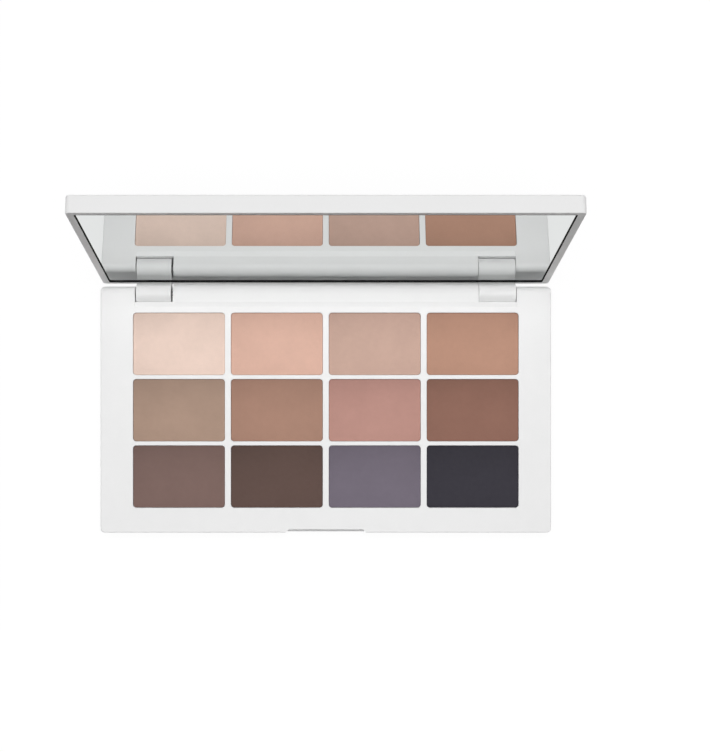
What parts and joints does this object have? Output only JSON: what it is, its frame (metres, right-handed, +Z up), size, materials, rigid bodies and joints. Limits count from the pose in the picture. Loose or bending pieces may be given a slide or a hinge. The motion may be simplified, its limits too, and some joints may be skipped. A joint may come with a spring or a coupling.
{
  "type": "eyeshadow palette",
  "caption": "Slim rectangular eyeshadow palette with pans of pressed powder in a white base and a mirror lid on a rear pin hinge, shown open.",
  "frame": {"origin": "centre of the underside of the base", "axes": "+X to the user's right along the hinge, +Y towards the hinge, +Z up; the lid rests open"},
  "size_m": [0.15, 0.1043, 0.083],
  "materials": {
    "white_plastic": "satin moulded",
    "cover_plastic": "fine matt",
    "pan_metal": "pressed sheet",
    "pin_steel": "blackened wire",
    "magnet": "nickel plated",
    "mirror": "polished",
    "sealant": "dark bead",
    "tape": "foam tape",
    "glue": "cured glue",
    "powder_cream": "pressed powder, matt",
    "powder_peach": "pressed powder, matt",
    "powder_sand": "pressed powder, matt",
    "powder_tan": "pressed powder, matt",
    "powder_taupe": "pressed powder, matt",
    "powder_camel": "pressed powder, matt",
    "powder_rose": "pressed powder, matt",
    "powder_brown": "pressed powder, matt",
    "powder_grey_brown": "pressed powder, matt",
    "powder_dark_brown": "pressed powder, matt",
    "powder_mauve_grey": "pressed powder, matt",
    "powder_charcoal": "pressed powder, matt"
  },
  "bodies": {
    "base": {"base_body": "white_plastic", "bottom_cover": "cover_plastic", "pan_glue": "glue", "hinge_pin_left": "pin_steel", "hinge_pin_right": "pin_steel", "base_magnet_left": "magnet", "base_magnet_right": "magnet", "pan_r1c1": "pan_metal", "pan_r1c2": "pan_metal", "pan_r1c3": "pan_metal", "pan_r1c4": "pan_metal", "pan_r2c1": "pan_metal", "pan_r2c2": "pan_metal", "pan_r2c3": "pan_metal", "pan_r2c4": "pan_metal", "pan_r3c1": "pan_metal", "pan_r3c2": "pan_metal", "pan_r3c3": "pan_metal", "pan_r3c4": "pan_metal", "powder_r1c1": "powder_cream", "powder_r1c2": "powder_peach", "powder_r1c3": "powder_sand", "powder_r1c4": "powder_tan", "powder_r2c1": "powder_taupe", "powder_r2c2": "powder_camel", "powder_r2c3": "powder_rose", "powder_r2c4": "powder_brown", "powder_r3c1": "powder_grey_brown", "powder_r3c2": "powder_dark_brown", "powder_r3c3": "powder_mauve_grey", "powder_r3c4": "powder_charcoal"},
    "lid": {"lid_shell": "white_plastic", "mirror_glass": "mirror", "mirror_seal": "sealant", "mirror_tape": "tape", "lid_magnet_left": "magnet", "lid_magnet_right": "magnet"}
  },
  "joints": [
    {"name": "lid_hinge", "type": "hinge", "parent": "base", "child": "lid", "pos_m": [0, 0.0387, 0.0056], "axis": [-1, 0, 0], "range_deg": [-101, 0]}
  ]
}
